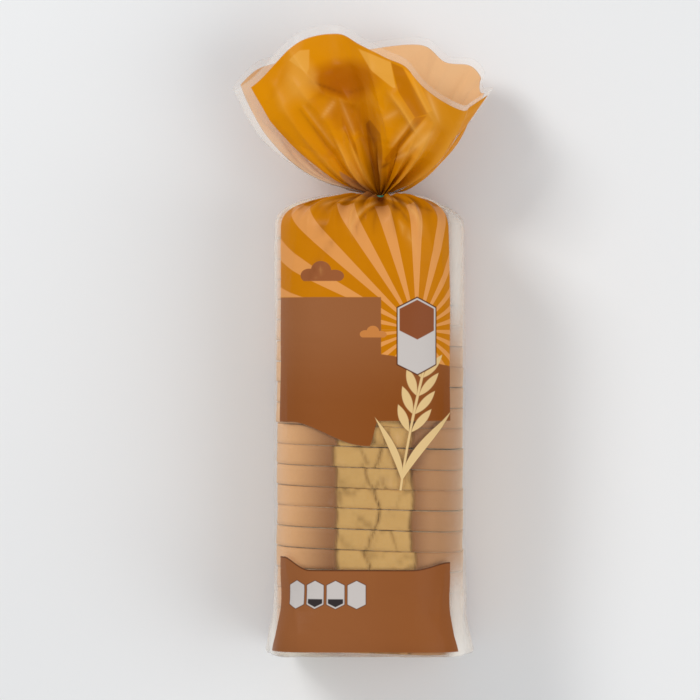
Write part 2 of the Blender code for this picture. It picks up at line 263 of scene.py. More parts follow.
def slices_tree():
    """Nodes that set the slice out along the loaf, each a little off its neighbours, round the
    two heels off, tear the top open along the split, and mark where crumb and split show."""
    tree = bpy.data.node_groups.new("sliced_loaf", "GeometryNodeTree")
    face = tree.interface
    face.new_socket("Slice", in_out="INPUT", socket_type="NodeSocketGeometry")
    for name, kind, value in (
        ("Count", "NodeSocketInt", SLICES), ("Pitch", "NodeSocketFloat", SLICE_PITCH),
        ("First Cut", "NodeSocketFloat", FIRST_CUT_Y), ("Unevenness", "NodeSocketFloat", 0.5 * MM),
        ("Split Depth", "NodeSocketFloat", 1.0), ("Seed", "NodeSocketInt", 7),
        ("Crust", "NodeSocketMaterial", None),
    ):
        socket = face.new_socket(name, in_out="INPUT", socket_type=kind)
        if value is not None:
            socket.default_value = value
    face.new_socket("Loaf", in_out="OUTPUT", socket_type="NodeSocketGeometry")
    wire = Wire(tree)
    given = {s.name: Wire(tree, s) for s in tree.nodes.new("NodeGroupInput").outputs}

    start = wire.joined(0.0, given["First Cut"] + given["Pitch"] * 0.5, 0.0)
    offset = wire.joined(0.0, given["Pitch"], 0.0)
    line = wire.add("GeometryNodeMeshLine", {
        "Count": given["Count"], "Start Location": start, "Offset": offset,
    })
    number = wire.add("GeometryNodeInputIndex")

    def chance(low, high, salt):
        sockets = {0: low, 1: high, "ID": number, "Seed": given["Seed"] + float(salt)}
        return wire.add("FunctionNodeRandomValue", sockets, data_type="FLOAT_VECTOR")

    lean = chance((-0.002, -0.004, -0.038), (0.002, 0.004, -0.030), 1)
    size = chance((0.994, 1.0, 0.988), (1.002, 1.0, 1.000), 2)
    set_out = wire.add("GeometryNodeInstanceOnPoints", {
        "Points": line, "Instance": given["Slice"], "Rotation": lean, "Scale": size,
    })
    own = chance((-1.0, -1.0, -1.0), (1.0, 1.0, 1.0), 3)
    marked = wire.add("GeometryNodeStoreNamedAttribute", {
        "Geometry": set_out, "Name": "slice_draw", "Value": own,
    }, data_type="FLOAT_VECTOR", domain="INSTANCE")
    loose = wire.add("GeometryNodeRealizeInstances", {"Geometry": marked})

    place = wire.add("GeometryNodeInputPosition")
    x, y, z = place.axes()
    draw = wire.add("GeometryNodeInputNamedAttribute", {"Name": "slice_draw"},
                    data_type="FLOAT_VECTOR").axes()

    # the heels: the tied end rounds in, sooner over its top, and the shut end a little
    over_top = z.step(66.0 * MM, 97.0 * MM)
    power = 2.7 - x.step(-20.0 * MM, 30.0 * MM) * (1.0 - over_top) * 0.7
    heel_start = HEEL_START_Y - over_top * (4.5 * MM)
    reach = ((y - heel_start) / (HEEL_END_Y - heel_start)).clamped()
    tied = (1.0 - reach ** power).clamped() ** (power ** -1.0)
    tied_y = y - (1.0 - tied.step(0.10, 0.42)) * (2.6 * MM)
    shut = 1.0 - ((-y).step(121.0 * MM, 134.0 * MM) ** 1.5) * 0.05
    draw_in = tied * shut
    rounded = wire.joined(
        (x - HEEL_X) * draw_in + HEEL_X, tied_y, (z - HEEL_HEIGHT) * draw_in + HEEL_HEIGHT)

    # the torn band on top: its two edges and the crevice down its middle wander along the loaf
    along = wire.joined(0.0, y, 0.0)
    ragged = along.noise(5.0 * MM, detail=2.0, seed=9.0) * (1.3 * MM)
    left = along.noise(30.0 * MM, seed=1.0) * (3.0 * MM) + draw[0] * (1.8 * MM) + ragged + SPLIT_LEFT
    right = along.noise(26.0 * MM, seed=2.0) * (4.0 * MM) + draw[1] * (2.2 * MM) - ragged + SPLIT_RIGHT
    crevice = along.noise(22.0 * MM, detail=3.0, seed=3.0) * (15.0 * MM) + draw[2] * (2.2 * MM) + CREVICE_X
    top = z.step(84.0 * MM, 98.0 * MM)
    band = (x - left).step(-0.5 * MM, 0.9 * MM) * (right - x).step(-0.5 * MM, 0.9 * MM) * top
    crack = (x - crevice).hump(0.8 * MM) * (0.55 + along.noise(8.0 * MM, seed=11.0).step(-0.3, 0.3) * 0.45)
    # each slice breaks the band into a few pillows of its own, with finer cracks between them
    shifted = x + draw[2] * (30.0 * MM) + place.noise(7.0 * MM, seed=12.0) * (2.5 * MM)
    broken = wire.joined(shifted, y * 0.75, 0.0)
    torn_cells = wire.add("ShaderNodeTexVoronoi", {"Vector": broken, "Scale": 1.0 / (15.0 * MM)},
                          feature="DISTANCE_TO_EDGE", output=0)
    cell_cracks = (1.0 - torn_cells.step(0.0, 0.10)) * place.noise(12.0 * MM, seed=13.0).step(-0.25, 0.25)
    crack = crack.most(cell_cracks * 0.62) * band
    pillows = place.noise(10.0 * MM, seed=6.0) * 1.1 + place.noise(4.0 * MM, detail=3.0, seed=7.0) * 0.4
    lips = ((x - left + 1.6 * MM).hump(1.5 * MM)).most((x - right - 1.6 * MM).hump(1.5 * MM)) * top
    edges = ((x - left).hump(0.8 * MM)).most((x - right).hump(0.8 * MM)) * top
    swell = band * (0.1 + pillows * 1.3) - crack * 2.6 + lips * 0.4 - edges * 1.5
    crust = place.scaled(1.0, 1.6, 1.0).noise(16.0 * MM, detail=3.0, seed=8.0)
    lift = (swell * given["Split Depth"] * MM) + crust * given["Unevenness"]
    outside = wire.add("GeometryNodeInputNormal")
    _, facing, _ = outside.axes()
    skin = 1.0 - abs(facing).step(0.75, 0.97)
    push = wire.add("ShaderNodeVectorMath", {0: outside, "Scale": lift * skin}, operation="SCALE")
    moved = wire.add("ShaderNodeVectorMath", {0: rounded, 1: push}, operation="ADD")
    torn = wire.add("GeometryNodeSetPosition", {"Geometry": loose, "Position": moved})

    cut = abs(facing).step(0.6, 0.95)
    heel = y.step(126.0 * MM, 126.4 * MM).most((-y).step(129.4 * MM, 129.8 * MM))
    kept = torn
    # crack holds the split's cracks and the torn band's edges, which the bread material darkens as painted
    # shade
    for name, value in (("split", band), ("crack", crack.most(edges * 0.8)), ("pillow", pillows),
                        ("cut", cut * (1.0 - heel)), ("heel", heel)):
        kept = wire.add("GeometryNodeStoreNamedAttribute", {
            "Geometry": kept, "Name": name, "Value": value,
        }, data_type="FLOAT", domain="POINT")
    dressed = wire.add("GeometryNodeSetMaterial", {"Geometry": kept, "Material": given["Crust"]})
    smooth = wire.add("GeometryNodeSetShadeSmooth", {"Geometry": dressed, "Shade Smooth": True})
    result = tree.nodes.new("NodeGroupOutput")
    smooth.into(result.inputs["Loaf"])
    return tree


def bread_material():
    """Tan crust, paler down the sides, round cream crumb, with a pale gold split on top. The crust's left
    side is paler as painted light, the split's pillows carry a painted highlight, and its cracks and edges
    painted shade.
    """
    material, shader, wire = new_material("bread", Specular_IOR_Level=0.35, Sheen_Weight=0.1)
    place = wire.add("ShaderNodeTexCoord", output=3)
    across, _, height = place.axes()
    split, crack, pillow, cut, heel = wire.read("split", "crack", "pillow", "cut", "heel")
    patches = place.noise(22.0 * MM, detail=4.0, seed=1.0)
    specks = place.noise(1.6 * MM, detail=3.0, seed=2.0)
    # the top crust is darkest where it tore and pales towards the sides; it pales further on the left as
    # painted light from that side
    on_left = across.step(4.0 * MM, -4.0 * MM)
    from_tear = (SPLIT_LEFT - across).step(-1.0 * MM, 33.0 * MM) * on_left
    from_tear = from_tear + (across - SPLIT_RIGHT).step(-1.0 * MM, 12.0 * MM) * 0.34 * (1.0 - on_left)
    crown = from_tear.between(srgb(132, 80, 34), srgb(240, 182, 122))
    crust = crown.mix(height.step(88.0 * MM, 40.0 * MM), srgb(218, 172, 118))
    crust = crust.mix(patches.share() * 0.25, srgb(184, 128, 68))
    crust = crust.mix((height.step(20.0 * MM, 4.0 * MM) * 0.6), srgb(158, 100, 58))
    crust = crust.mix(specks.share() * 0.14, srgb(150, 96, 56))
    gold = crust.mix(1.0, srgb(200, 156, 86))
    baked = (place.noise(7.0 * MM, detail=3.0, seed=3.0) * 0.7 + 0.4).clamped()
    gold = gold.mix(baked * 0.55, srgb(184, 134, 62))
    # painted highlight: the split is paler where its pillows swell
    gold = gold.mix(pillow.step(0.1, 0.9) * 0.6, srgb(216, 170, 118))
    gold = gold.mix(specks.share() * 0.2, srgb(226, 188, 128))
    pores = place.add("ShaderNodeTexVoronoi", {"Vector": place, "Scale": 420.0})
    crumb = crust.mix(1.0, srgb(238, 222, 188)).mix(1.0 - pores.step(0.05, 0.5), srgb(206, 180, 138))
    colour = crust.mix(split, gold).mix(cut.step(0.7, 1.0), crumb).mix(heel * 0.8, srgb(196, 140, 84))
    colour = colour.mix((1.0 - abs(cut - 0.4) * 2.6).clamped() * 0.45, srgb(138, 90, 48))
    # painted shade down the split's cracks and along the torn band's edges
    colour = colour.mix(crack.clamped() * 0.8, srgb(124, 88, 28))
    relief = specks * 0.6 + pores.step(0.0, 0.5) * cut * 1.2 + place.noise(5.0 * MM, seed=5.0) * 0.4
    rough = 0.62 + split * 0.2 + cut * 0.25
    finish_surface(shader, colour, rough, relief.bump(0.35, 0.4 * MM))
    return material


loaf_start = new_object("loaf_start", slice_mesh())
slicing = loaf_start.modifiers.new("slices", "NODES")
slicing.node_group = slices_tree()
for entry in slicing.node_group.interface.items_tree:
    if entry.in_out == "INPUT" and entry.name == "Crust":
        slicing[entry.identifier] = bread_material()
sliced = loaf_start.evaluated_get(bpy.context.evaluated_depsgraph_get())
loaf_mesh = bpy.data.meshes.new_from_object(sliced)
bpy.data.objects.remove(loaf_start)
loaf = new_object("sliced_loaf", loaf_mesh)
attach(loaf, "root")
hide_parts("bread_bag")


# The bag
# One tube of clear polythene film, printed on its front and back and shut across its bottom. It
# is drawn tight over the bread and gathered into pleats at the neck, and its tail flares open.
BAG_AROUND, TAIL_AROUND = 320, 400
FRONT_CROWDING = 0.06
BAG_HALF_WIDTH, BAG_TOP, BAG_BASE = 54.3 * MM, 108.8 * MM, 0.15 * MM
BAG_END_Y = -132.2 * MM
BAG_SPREAD = 0.015
BOX_LENGTH, BOX_BOXINESS = 36.0 * MM, 6.5
EAR_REACH, EAR_LENGTH, EAR_HALF_HEIGHT = 5.0 * MM, 26.0 * MM, 24.0 * MM
CUT_DIP = 0.08 * MM
CUT_LEAN = 0.034
SAG_DEPTH, SAG_X, SAG_HALF_WIDTH = 1.6 * MM, 3.0 * MM, 17.0 * MM
END_FOLD = 55.0 * MM
FRONT_FROM_TO = (70.0 * MM, 100.0 * MM)
SMALL_PLEATS = 56
SHOULDER_Y, SHOULDER_DEPTH, SHOULDER_BOXINESS = 112.0 * MM, 17.8 * MM, 2.8
RIGHT_BOXINESS, FRONT_SLOPE = 2.1, 4.0 * MM
DIMPLE, DIMPLE_SHARES = 2.6 * MM, (0.10, 0.42)
NECK_X, NECK_Z, NECK_RADIUS = 6.9 * MM, 57.0 * MM, 3.0 * MM
NECK_Y0, NECK_Y1 = 127.6 * MM, 130.6 * MM
FILM_THICKNESS = 0.2 * MM
END_RINGS, SHOULDER_RINGS, TAIL_RINGS = 10, 28, 108

# The tail's rim, and how its film bellies out on the way there: a share of the way round from
# the right side over the top, then millimetres from the tie to the right, along and up
RIM = (
    (0.105, 62, 65.3, -2), (0.13, 49.7, 56.3, 14), (0.145, 45.7, 54.3, 22), (0.165, 35, 59.4, 34),
    (0.19, 25, 67.5, 40), (0.215, 16, 78.4, 42), (0.24, 4.6, 84, 36), (0.27, -10.7, 92.6, 25),
    (0.30, -25, 100, 14), (0.35, -49, 95, 13), (0.41, -73.5, 70.5, 8), (0.46, -85.4, 64, 0),
    (0.49, -81.4, 71.6, -5), (0.52, -71.3, 80.8, -10), (0.56, -56.9, 85.5, -16), (0.63, -31, 90.8, -26),
    (0.68, -12.4, 92, -32), (0.77, 23, 95.3, -35), (0.82, 37.6, 85.5, -32), (0.86, 51, 84, -26),
    (0.90, 57.5, 76.8, -20), (0.94, 56.6, 70.6, -14), (0.97, 58, 65.5, -10),
)
BELLY = ((0.0, 38, 13, 0), (0.25, 3, 17.6, 26), (0.5, -66, 12, 0), (0.75, -5, 23.6, -20))

# Creases of the tail: from and to, each as a share round and a share of the way from the neck to
# the rim, then how far the crease stands out in millimetres, below 0 inwards, and its width as
# a share of that way
CREASES = (
    (0.275, 0.05, 0.290, 0.52, -4.0, 0.07), (0.290, 0.52, 0.316, 0.84, -9.0, 0.17),
    (0.203, 0.03, 0.184, 0.70, 5.0, 0.045), (0.184, 0.70, 0.236, 0.84, 5.0, 0.045),
    (0.214, 0.05, 0.206, 0.62, -4.5, 0.045), (0.176, 0.05, 0.164, 0.82, 4.5, 0.04),
    (0.164, 0.82, 0.206, 0.97, 4.0, 0.04), (0.190, 0.10, 0.176, 0.60, -3.5, 0.04),
    (0.138, 0.10, 0.134, 0.98, 4.5, 0.035), (0.152, 0.10, 0.150, 0.80, -3.5, 0.04),
    (0.362, 0.96, 0.335, 0.74, 5.0, 0.05), (0.335, 0.74, 0.295, 0.68, 5.0, 0.05),
    (0.332, 0.03, 0.345, 0.62, 4.0, 0.05), (0.306, 0.06, 0.318, 0.58, 4.5, 0.045),
    (0.250, 0.06, 0.255, 0.52, 4.5, 0.045), (0.345, 0.62, 0.372, 0.90, 3.5, 0.05),
    (0.378, 0.08, 0.392, 0.92, 3.5, 0.045), (0.360, 0.08, 0.366, 0.60, -3.0, 0.04),
    (0.232, 0.55, 0.262, 0.96, 3.0, 0.04), (0.430, 0.10, 0.444, 0.97, -4.0, 0.06),
    (0.455, 0.10, 0.470, 0.90, 3.0, 0.04), (0.620, 0.05, 0.610, 0.85, -5.0, 0.07),
    (0.660, 0.10, 0.650, 0.95, 4.0, 0.05), (0.700, 0.05, 0.720, 0.92, 5.0, 0.06),
    (0.745, 0.10, 0.760, 0.80, -4.0, 0.06), (0.790, 0.05, 0.805, 0.90, 5.0, 0.06),
    (0.835, 0.15, 0.830, 0.95, -4.0, 0.06), (0.880, 0.05, 0.862, 0.96, 4.5, 0.05),
    (0.560, 0.10, 0.552, 0.92, 4.0, 0.05), (0.590, 0.30, 0.575, 0.95, -3.0, 0.05),
    (0.950, 0.10, 0.962, 0.92, 3.5, 0.05), (0.912, 0.20, 0.915, 0.90, -3.0, 0.05),
)
# Bold pleats of the shoulder: a share round, how far each stands out in millimetres, its width
# in hundredths of the way round, and the y in millimetres where it starts
BOLD_PLEATS = (
    (0.273, 3.0, 0.60, 98), (0.248, 2.2, 0.70, 108), (0.212, 2.4, 0.55, 104), (0.172, 3.0, 0.60, 100),
    (0.140, 2.6, 0.70, 105), (0.108, 2.8, 0.80, 110), (0.305, 2.4, 0.60, 106), (0.338, 2.8, 0.70, 103),
    (0.372, 2.4, 0.80, 108), (0.410, 2.8, 0.90, 110),
)
# Faint creases of the film over the bread: from and to on the print in millimetres, then how
# far the crease stands out in millimetres, below 0 inwards
STRAINS = (
    (-20, 115, -32, 99, 0.55), (-14, 107, -33, 78, 0.6), (22, 113, 30, 94, 0.5), (34, 118, 40, 92, 0.5),
    (-40, 108, -47, 70, 0.45), (3, 112, -6, 84, -0.4), (44, 108, 47, 60, 0.4), (-49, 30, -44, -70, 0.4),
    (46, 20, 41, -60, 0.4), (-50, -80, -36, -122, 0.6), (47, -84, 39, -124, 0.6), (30, -100, 46, -126, 0.5),
    (-8, 66, 30, 58, 0.3), (-46, 52, -8, 44, 0.3), (-30, -112, 12, -122, 0.35), (0, -90, 34, -97, 0.3),
)


def closed_spline(table, places):
    """Reads a closed table of knots, smoothly, at shares of the way round, as metres."""
    knots = np.array(table, dtype=float)
    turn = np.array([1.0, 0.0, 0.0, 0.0])
    wide = np.concatenate([knots[-3:] - turn, knots, knots[:3] + turn])
    dense = []
    for before, start, end, after in zip(wide, wide[1:], wide[2:], wide[3:]):
        for t in np.linspace(0.0, 1.0, 12, endpoint=False):
            dense.append(0.5 * (
                2.0 * start + t * (end - before)
                + t * t * (2.0 * before - 5.0 * start + 4.0 * end - after)
                + t ** 3 * (3.0 * start - before - 3.0 * end + after)
            ))
    dense = np.array(dense)
    return np.stack([np.interp(places, dense[:, 0], dense[:, k]) for k in (1, 2, 3)], axis=1) * MM


def lumps(points, size, seed):
    """Smooth noise from -1 to 1 at each point, with lumps about size across."""
    spots = np.asarray(points) / size + seed * 17.3
    flat = spots.reshape(-1, 3)
    return np.array([noise.noise(spot) for spot in flat]).reshape(spots.shape[:-1])


def near_line(across, along, start, end, width):
    """How near each point lies to a straight crease, from 0 to 1, fading out at its ends."""
    start = np.array(start, dtype=float)
    way = np.array(end, dtype=float) - start
    spot = np.stack(np.broadcast_arrays(across, along), axis=-1) - start
    on = np.clip((spot @ way) / (way @ way), 0.0, 1.0)
    gap = np.linalg.norm(spot - on[..., None] * way, axis=-1)
    return np.exp(-gap / width) * np.sin(np.pi * np.clip(on * 0.9 + 0.08, 0.0, 1.0)) ** 0.5


def crumple(across, along, girth, cell, seed):
    """A sheet creased into flat facets about a cell across: how far each spot stands out, and a painted
    light or shade for its facet, from -1 to 1. The corners of the facets repeat once round the bag."""
    draw = np.random.default_rng(seed)
    columns = round(girth / cell)
    rows = math.ceil(np.ptp(along) / (0.87 * cell)) + 3
    corners, heights = [], []
    for row in range(rows):
        for column in range(columns):
            step_x, step_y, height = draw.uniform(-0.36, 0.36, 3)
            x = ((column + 0.5 * (row % 2) + step_x) / columns - 0.5) * girth
            y = along.min() + (row - 1.0 + step_y) * 0.87 * cell
            for lap in (-girth, 0.0, girth):
                if abs(x + lap) < girth / 2.0 + 2.0 * cell:
                    corners.append(Vector((x + lap, y)))
                    heights.append(height / 0.36)
    places, _, triangles, sources, _, _ = geometry.delaunay_2d_cdt(corners, [], [], 0, 1e-9)
    across, along = np.broadcast_arrays(across, along)
    lift, facet_shade = np.zeros(across.shape), np.zeros(across.shape)
    for triangle in triangles:
        (ax, ay), (bx, by), (cx, cy) = (places[i] for i in triangle)
        ha, hb, hc = (heights[sources[i][0]] for i in triangle)
        area = (bx - ax) * (cy - ay) - (cx - ax) * (by - ay)
        b = ((across - ax) * (cy - ay) - (cx - ax) * (along - ay)) / area
        c = ((bx - ax) * (along - ay) - (across - ax) * (by - ay)) / area
        inside = (b >= 0.0) & (c >= 0.0) & (b + c <= 1.0)
        lift[inside] = (ha + b * (hb - ha) + c * (hc - ha))[inside]
        facet_shade[inside] = 2.0 * ((97.0 * (ha + 2.0 * hb + 3.0 * hc)) % 1.0) - 1.0
    return lift, facet_shade


def film_rings(around):
    """The bag's rings from its shut end to its rim, before pleats, with the film's own
    coordinates: metres from the middle of the front, and metres along the bag. A ring's stage is
    below 0 on the shut end, 0 over the bread, 1 at the neck and 2 at the rim."""
    turn = np.arange(around) / around
    share = 0.5 - turn - FRONT_CROWDING * np.sin(math.tau * turn)
    soft = outline(BAG_HALF_WIDTH, BAG_TOP, BAG_BASE, -share)
    boxy = outline(BAG_HALF_WIDTH, BAG_TOP, BAG_BASE, -share, BOX_BOXINESS)
    for section in (soft, boxy):
        over = smooth_step(*FRONT_FROM_TO, section[:, 1])
        section[:, 1] -= over * SAG_DEPTH * np.exp(-((section[:, 0] - SAG_X) / SAG_HALF_WIDTH) ** 2)
    whole = outline(BAG_HALF_WIDTH, BAG_TOP, BAG_BASE, np.linspace(0.0, 1.0, 721))
    girth = np.linalg.norm(np.diff(whole, axis=0), axis=1).sum()
    across, height = soft[:, 0], soft[:, 1]
    side = smooth_step(0.7, 1.0, np.abs(across) / BAG_HALF_WIDTH)
    level = np.exp(-((height - WAIST_HEIGHT) / EAR_HALF_HEIGHT) ** 2)
    inward = np.stack([-across, WAIST_HEIGHT - height], axis=1)
    inward /= np.linalg.norm(inward, axis=1)[:, None]
    free = smooth_step(8.0 * MM, 30.0 * MM, height)
    middle = np.array([0.0, WAIST_HEIGHT])

    def level_ring(y, scale=1.0, dip=0.0, lean=1.0):
        wide = 1.0 + BAG_SPREAD * (NECK_Y0 - y) / (NECK_Y0 - BAG_END_Y)
        near_end = 1.0 - smooth_step(0.0, EAR_LENGTH, y - BAG_END_Y)
        boxed = 0.85 * (1.0 - smooth_step(0.0, BOX_LENGTH, y - BAG_END_Y))
        flat = soft + (boxy - soft) * boxed + inward * (dip * free)[:, None]
        flat[:, 0] = flat[:, 0] * wide + np.sign(across) * EAR_REACH * near_end * level * side
        flat = middle + (flat - middle) * scale
        return np.stack([flat[:, 0], y - CUT_LEAN * lean * across, flat[:, 1]], axis=1)

    rings, ways, stages = [], [], []
    for scale in 0.985 * np.linspace(0.05, 1.0, END_RINGS) ** 0.8:
        rings.append(level_ring(BAG_END_Y, scale, lean=0.0))
        ways.append(BAG_END_Y - (1.0 - scale) * END_FOLD + 0.0 * across)
        stages.append(-1.0)
    body = [(BAG_END_Y + 1.5 * MM, 0.0)]
    for cut in range(1, SLICES - 1):
        cut_y = FIRST_CUT_Y + cut * SLICE_PITCH
        body += [(cut_y - 0.12 * SLICE_PITCH, 0.12), (cut_y, 1.0), (cut_y + 0.12 * SLICE_PITCH, 0.12),
                 (cut_y + 0.5 * SLICE_PITCH, 0.0)]
    for y, dip in body[:-1]:
        lean = smooth_step(BAG_END_Y, BAG_END_Y + 12.0 * MM, y) * (1.0 - smooth_step(92 * MM, 105 * MM, y))
        rings.append(level_ring(y, dip=dip * CUT_DIP, lean=float(lean)))
        ways.append(rings[-1][:, 1])
        stages.append(0.0)

    hub = np.array([NECK_X, 0.0, NECK_Z])
    spokes = level_ring(SHOULDER_Y, lean=0.0) * [1.0, 0.0, 1.0] - hub
    front = smooth_step(*FRONT_FROM_TO, height)
    rounder = smooth_step(-20.0 * MM, 30.0 * MM, across) * (1.0 - front)
    boxiness = SHOULDER_BOXINESS + (RIGHT_BOXINESS - SHOULDER_BOXINESS) * rounder
    start_y = SHOULDER_Y - FRONT_SLOPE * front
    depth = SHOULDER_Y + SHOULDER_DEPTH - start_y
    top = around // 2
    reach = ways[-1].mean()
    for turn in np.radians(np.linspace(4.0, 88.0, SHOULDER_RINGS)):
        scale = math.cos(turn) ** (2.0 / SHOULDER_BOXINESS)
        y = start_y + depth * (1.0 - scale ** boxiness) ** (1.0 / boxiness)
        y = y - DIMPLE * (1.0 - smooth_step(*DIMPLE_SHARES, scale))
        ring = hub + spokes * scale
        ring[:, 1] = y
        rings.append(ring)
        stages.append(1.0 - scale)
    directions = spokes / np.linalg.norm(spokes, axis=1)[:, None]
    inner = rings[-1]
    neck_middle = 0.5 * (NECK_Y0 + NECK_Y1)
    for y, share_in in ((NECK_Y0 - 0.2 * MM, 0.75), (NECK_Y0, 1.0), (neck_middle, 1.0), (NECK_Y1, 1.0)):
        round_ring = hub + directions * NECK_RADIUS
        ring = inner + (round_ring - inner) * share_in
        ring[:, 1] = y
        rings.append(ring)
        stages.append(1.0)
    root = rings[-1]
    tie_point = np.array([NECK_X, NECK_Y0, NECK_Z])
    round_share = (0.25 - share) % 1.0
    rim = tie_point + closed_spline(RIM, round_share)
    belly = tie_point + closed_spline(BELLY, round_share)
    for row in range(1, TAIL_RINGS + 1):
        s = (row / TAIL_RINGS) ** 1.2
        rings.append((1 - s) ** 2 * root + 2 * s * (1 - s) * belly + s * s * rim)
        stages.append(1.0 + s)
    while len(ways) < len(rings):
        reach += np.linalg.norm(rings[len(ways)][top] - rings[len(ways) - 1][top])
        ways.append(reach + 0.0 * across)
    return np.array(rings), np.array(ways), share * girth, np.array(stages), round_share


def film_relief(rings, ways, film_x, stages, round_share, girth):
    """How far the film stands out of its smooth shape: pleats that run in to the tie, creases and flat
    facets of the tail, folds of the shut end, and slight strain over the bread. Also how far each spot lies
    in a fold and in a valley between pleats, and the painted light or shade of its facet."""
    draw = np.random.default_rng(11)
    stage = stages[:, None]
    tail = np.clip(stage - 1.0, 0.0, 1.0)
    on_tail, on_end = (stage > 1.0) * 1.0, (stage < -0.5) * 1.0
    x, y, z = rings[..., 0], rings[..., 1], rings[..., 2]
    radius = np.hypot(x - NECK_X, z - NECK_Z)
    limit = 0.13 * radius
    pleats = [(u, h * MM, w / 100.0, start * MM, 0.0) for u, h, w, start in BOLD_PLEATS]
    for number in range(SMALL_PLEATS):
        place = (number + draw.uniform(-0.45, 0.45)) / SMALL_PLEATS
        pleats.append((place, draw.uniform(0.8, 2.2) * MM, draw.uniform(0.003, 0.006),
                       draw.uniform(106.0, 126.0) * MM, draw.uniform(-0.03, 0.03)))
    folds, crests = np.zeros(rings.shape[:2]), np.zeros(rings.shape[:2])
    on_end_face = np.maximum(y - 124.0 * MM, 0.0) * 3.5
    over_shoulder = (stage <= 1.0) * smooth_step(4.0 * MM, 24.0 * MM, z + on_end_face)
    for place, height, width, start, skew in pleats:
        open_way = smooth_step(start, start + 20.0 * MM, y)
        gap = (round_share[None, :] - place - skew * (1.0 - open_way) + 0.5) % 1.0 - 0.5
        ridge = np.exp(-np.abs(gap) / width)
        held = np.where(stage > 1.0, (1.0 - tail) ** 1.6, open_way * over_shoulder)
        folds += np.minimum(height, limit) * (ridge - 2.0 * width) * held * 0.8
        crests = np.maximum(crests, ridge)
    for u0, s0, u1, s1, height, width in CREASES:
        near = near_line(round_share[None, :] * 3.0, tail, (u0 * 3.0, s0), (u1 * 3.0, s1), width)
        folds += np.sign(height) * np.minimum(abs(height) * MM, 2.2 * limit) * near * on_tail
    for x0, y0, x1, y1, height in STRAINS:
        near = near_line(film_x[None, :], ways, (x0 * MM, y0 * MM), (x1 * MM, y1 * MM), 1.8 * MM)
        folds += height * MM * near * (1.0 - on_tail)

    rows = stages > 1.0
    from_side = np.minimum(np.abs(round_share - 0.47), np.abs((round_share + 0.5) % 1.0 - 0.5))
    at_side = np.exp(-(from_side / 0.05) ** 2)
    loose = smooth_step(0.06, 0.45, tail[rows]) * (1.0 - 0.6 * at_side)[None, :]
    facets, facet_shade = np.zeros_like(folds), np.zeros_like(folds)
    for cell, height, shade, seed in ((36.0 * MM, 4.2 * MM, 0.20, 31), (17.0 * MM, 1.2 * MM, 0.14, 32)):
        high, own = crumple(film_x[None, :], ways[rows], girth, cell, seed)
        facets[rows] += high * height * loose
        facet_shade[rows] += own * shade * loose
    rows = (stages > -0.5) & (stages < 0.5)
    free = smooth_step(12.0 * MM, 34.0 * MM, z[rows])
    high, own = crumple(film_x[None, :], ways[rows], girth, 40.0 * MM, 33)
    facets[rows] += high * 0.55 * MM * free
    facet_shade[rows] += own * 0.07 * free
    slack = lumps(rings * [1.0, 0.45, 1.0], 17.0 * MM, 5.0) * 0.3 * MM
    facets += slack * (stage < 0.6) * (stage > -0.5) * smooth_step(8.0 * MM, 26.0 * MM, z)

    corner_x, corner_z, fold_x, seam_z = 47.0 * MM, 100.0 * MM, 20.0 * MM, 52.0 * MM
    for side in (-1.0, 1.0):
        for from_z in (6.0 * MM, corner_z):
            fold = near_line(x, z, (side * corner_x, from_z), (side * fold_x, seam_z), 2.2 * MM)
            folds += on_end * fold * 1.1 * MM
    folds += on_end * near_line(x, z, (-corner_x, seam_z), (corner_x, seam_z), 1.2 * MM) * 0.9 * MM
    facets += on_end * lumps(rings, 14.0 * MM, 8.0) * 0.5 * MM
    return folds + facets, folds, 1.0 - crests, facet_shade


# The heights between which the film turns from the bag's back to its front
UPPER_FROM_TO = (56.0 * MM, 62.0 * MM)
# Folds of the tail's front and the shoulder that catch the light or the shade: from and to in
# millimetres across and along the bag, then its width in millimetres, and how pale, below 0
# how dark
STROKES = (
    (-1, 172, 5, 156, 2.4, -0.8), (5, 157, 6, 135, 2.2, -0.95), (-33, 195, -14, 188, 0.8, -0.6),
    (-14, 188, -1, 191, 0.8, -0.35), (-26, 175, -19, 184, 1.0, 0.7), (10, 173, 18, 177, 1.2, 0.6),
    (35, 187, 41, 171, 1.2, 0.7), (14, 158, 26, 172, 1.1, 0.75), (18, 154, 34, 172, 1.1, 0.7),
    (16, 156, 30, 172, 1.2, -0.7), (14, 150, 24, 154, 1.3, 0.7), (24, 154, 38, 166, 1.5, 0.75),
    (7, 145, 13, 149, 1.3, -0.9), (13, 149, 17, 154, 1.1, -0.7), (-10, 136, -6, 131, 0.7, 0.8),
    (-8, 165, -16, 185, 0.8, 0.45), (-39, 179, -22, 156, 1.0, -0.45), (-37, 181, -19, 157, 0.9, 0.35),
    (7, 126, -1, 122, 1.0, 0.85), (-1, 122, -6, 116, 1.1, 0.8), (-6, 116, -9, 109, 1.1, 0.5),
    (8, 124, 1, 120, 1.0, -0.9), (1, 120, -4, 114, 1.0, -0.7), (-4, 114, -7, 107, 1.1, -0.4),
    (9, 126, 9, 123, 2.0, -0.95), (10, 128, 19, 126, 0.9, 0.75), (19, 126, 24, 123, 0.9, 0.7),
    (24, 123, 30, 116, 1.0, 0.6), (30, 116, 32, 109, 1.0, 0.4), (11, 126, 20, 120, 1.4, -0.9),
    (20, 120, 25, 113, 1.2, -0.45), (21, 126, 32, 122, 0.9, -0.6), (32, 122, 38, 120, 0.9, -0.45),
    (19, 114, 27, 101, 1.2, 0.45), (27, 101, 29, 97, 1.0, 0.3), (-29, 127, -35, 124, 0.8, -0.7),
    (-35, 124, -39, 121, 0.8, -0.6), (-25, 124, -19, 126, 1.0, 0.6), (-19, 126, 3, 128, 0.9, 0.6),
    (-18, 124, 2, 126, 0.9, -0.6), (-28, 107, -22, 114, 1.6, -0.45), (-23, 98, -18, 104, 1.6, -0.4),
    (-32, 82, -26, 93, 1.8, -0.4), (-29, 82, -23, 91, 1.0, 0.3), (6, 122, 4, 109, 1.1, -0.35),
    (14, 120, 18, 106, 1.2, -0.35),
)


